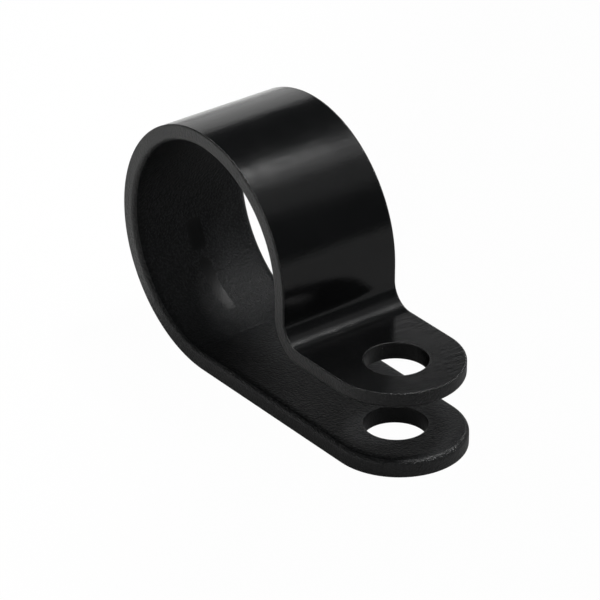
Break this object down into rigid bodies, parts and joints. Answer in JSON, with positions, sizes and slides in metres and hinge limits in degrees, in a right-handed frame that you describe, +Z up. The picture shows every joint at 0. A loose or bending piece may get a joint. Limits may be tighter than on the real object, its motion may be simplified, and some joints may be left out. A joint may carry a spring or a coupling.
{
  "type": "p clip",
  "caption": "P-shaped plastic cable clip: a round loop for the cable, and flat round-ended legs that share a screw hole.",
  "frame": {"origin": "on the screw hole's axis, at the underside of the lower leg", "axes": "+X along the legs, away from the loop; +Y along the cable; +Z up, from the lower leg to the upper leg"},
  "size_m": [0.0298, 0.0098, 0.0185],
  "materials": {
    "black_nylon": "black injection-moulded nylon, semi-gloss outside, fine matte grain inside the loop"
  },
  "bodies": {
    "root": {"clip": "black_nylon"}
  },
  "joints": []
}
